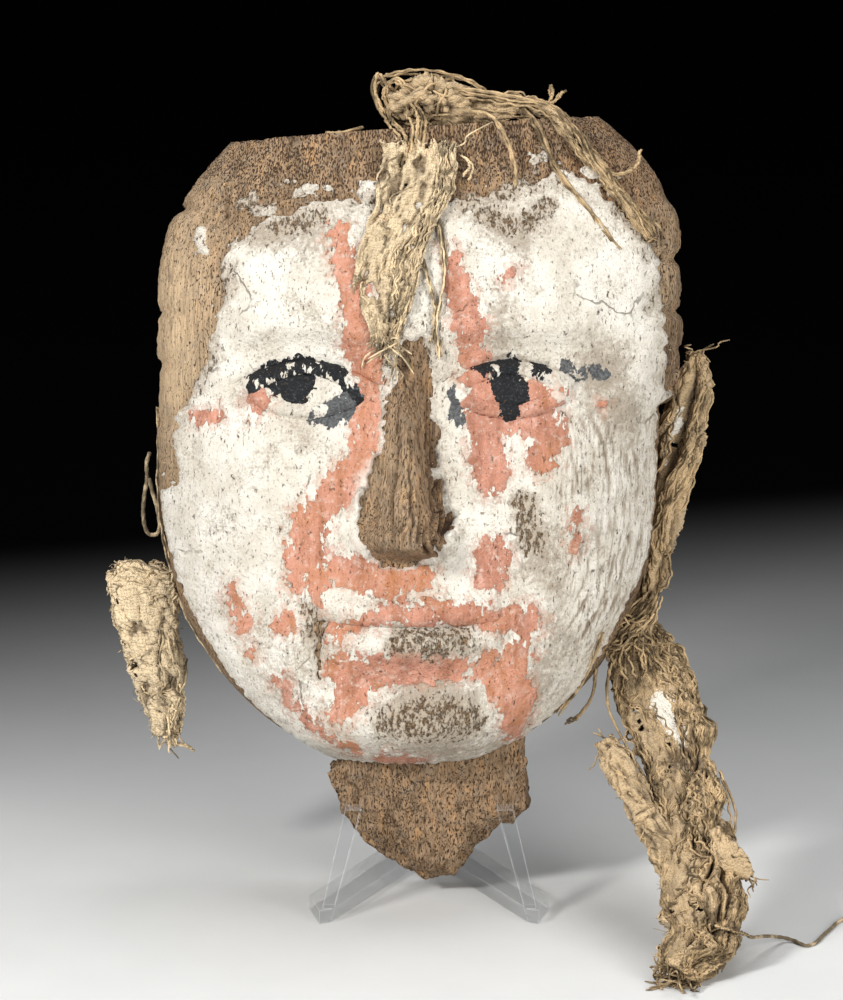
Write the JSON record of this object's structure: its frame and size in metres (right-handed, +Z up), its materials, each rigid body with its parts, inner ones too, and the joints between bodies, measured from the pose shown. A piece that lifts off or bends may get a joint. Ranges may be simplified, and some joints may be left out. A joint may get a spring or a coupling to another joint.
{
  "type": "ancient wooden funerary mask on a clear easel",
  "caption": "Carved wooden face mask with flaked painted plaster, torn linen and a neck tenon, leaning on a small clear easel.",
  "frame": {"origin": "on the table, under the middle of the object's box without its loose threads", "axes": "+Z up, the face looks along -Y, +X to the right as seen from the front"},
  "size_m": [0.1978, 0.1184, 0.2145],
  "materials": {
    "painted_wood": "dry weathered wood under a flaked chalk plaster coat with worn matt paint",
    "linen": "dry aged woven linen",
    "thread": "dry aged linen thread",
    "clear_plastic": "clear polished sheet"
  },
  "bodies": {
    "root": {"carved_mask": "painted_wood", "brow_linen": "linen", "crown_linen": "linen", "side_wrap": "linen", "side_scrap": "linen", "loop_thread": "thread", "floor_thread": "thread", "clear_easel": "clear_plastic"}
  },
  "joints": []
}
